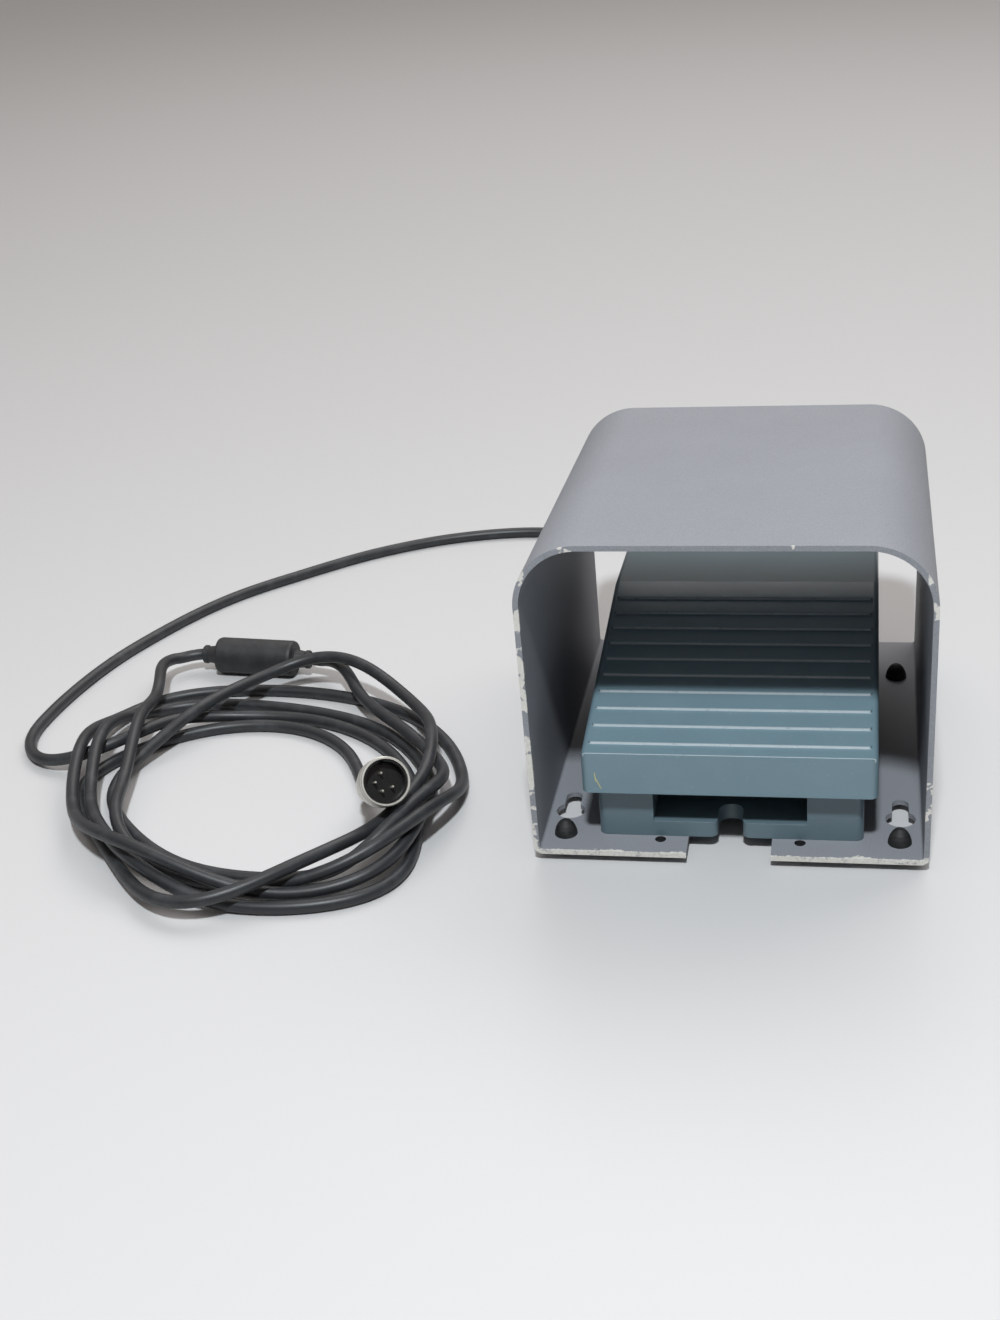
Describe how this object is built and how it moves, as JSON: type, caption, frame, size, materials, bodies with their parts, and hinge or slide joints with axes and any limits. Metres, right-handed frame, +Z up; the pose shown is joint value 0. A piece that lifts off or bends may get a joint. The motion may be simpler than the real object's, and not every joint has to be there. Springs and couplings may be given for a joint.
{
  "type": "guarded foot switch",
  "caption": "Foot switch with a hinged ribbed pedal on a cast base under a bent steel guard, with a coiled lead, a choke and a round screw-lock plug.",
  "frame": {"origin": "on the floor under the middle of the guard's footprint", "axes": "+X to the right seen from the front, +Y from the toe opening towards the lead, +Z up"},
  "size_m": [0.3735, 0.3526, 0.1248],
  "materials": {
    "guard_paint": "blue-grey paint with a fine texture, chipped to bright metal along the front edges",
    "cast_paint": "cast, satin blue paint",
    "rubber": "matt",
    "zinc_steel": "zinc plated",
    "nickel": "satin nickel plating",
    "brass": "bright",
    "black_moulding": "moulded",
    "cord_jacket": "soft satin jacket",
    "wire_jacket": "smooth",
    "ferrite": "sintered"
  },
  "bodies": {
    "base": {"guard_hood": "guard_paint", "hood_feet": "rubber", "hood_screws": "zinc_steel", "base_housing": "cast_paint", "stop_buffers": "rubber", "chamber_gasket": "rubber", "chamber_lid": "zinc_steel", "lid_screws": "zinc_steel", "pivot_pin": "zinc_steel", "pivot_clips": "zinc_steel", "plunger_bush": "brass", "plunger_wiper": "rubber", "contact_block": "black_moulding", "fixed_contacts": "brass", "block_screws": "zinc_steel", "terminal_screws": "brass", "inner_wires": "wire_jacket", "gland_body": "nickel", "gland_nut": "nickel", "gland_seal": "rubber", "gland_locknut": "nickel", "return_spring": "zinc_steel", "cord_lead": "cord_jacket", "cord_coil": "cord_jacket", "cord_tail": "cord_jacket", "choke_shell": "black_moulding", "choke_core": "ferrite", "plug_shell": "nickel", "plug_insert": "black_moulding", "plug_pins": "brass", "plug_cable_nut": "nickel"},
    "treadle": {"pedal": "cast_paint"},
    "actuator": {"plunger": "zinc_steel", "contact_bridge": "brass"},
    "plug_lock": {"coupling_ring": "nickel"}
  },
  "joints": [
    {"name": "pedal_pivot", "type": "hinge", "parent": "base", "child": "treadle", "pos_m": [0, 0.064, 0.046], "axis": [1, 0, 0], "range_deg": [0, 4], "stiffness_Nm_per_rad": 10, "springref_deg": -8.59, "deforming": ["return_spring"]},
    {"name": "plunger_slide", "type": "slide", "parent": "base", "child": "actuator", "axis": [0, 0, -1], "range_m": [0, 0.0034]},
    {"name": "coupling_turn", "type": "hinge", "parent": "base", "child": "plug_lock", "pos_m": [-0.1249, -0.0792, 0.028], "axis": [0.3981, -0.7488, 0.5299], "continuous": true}
  ],
  "couplings": [
    {"joint": "plunger_slide", "follows": "pedal_pivot", "m_per_rad": 0.046}
  ]
}
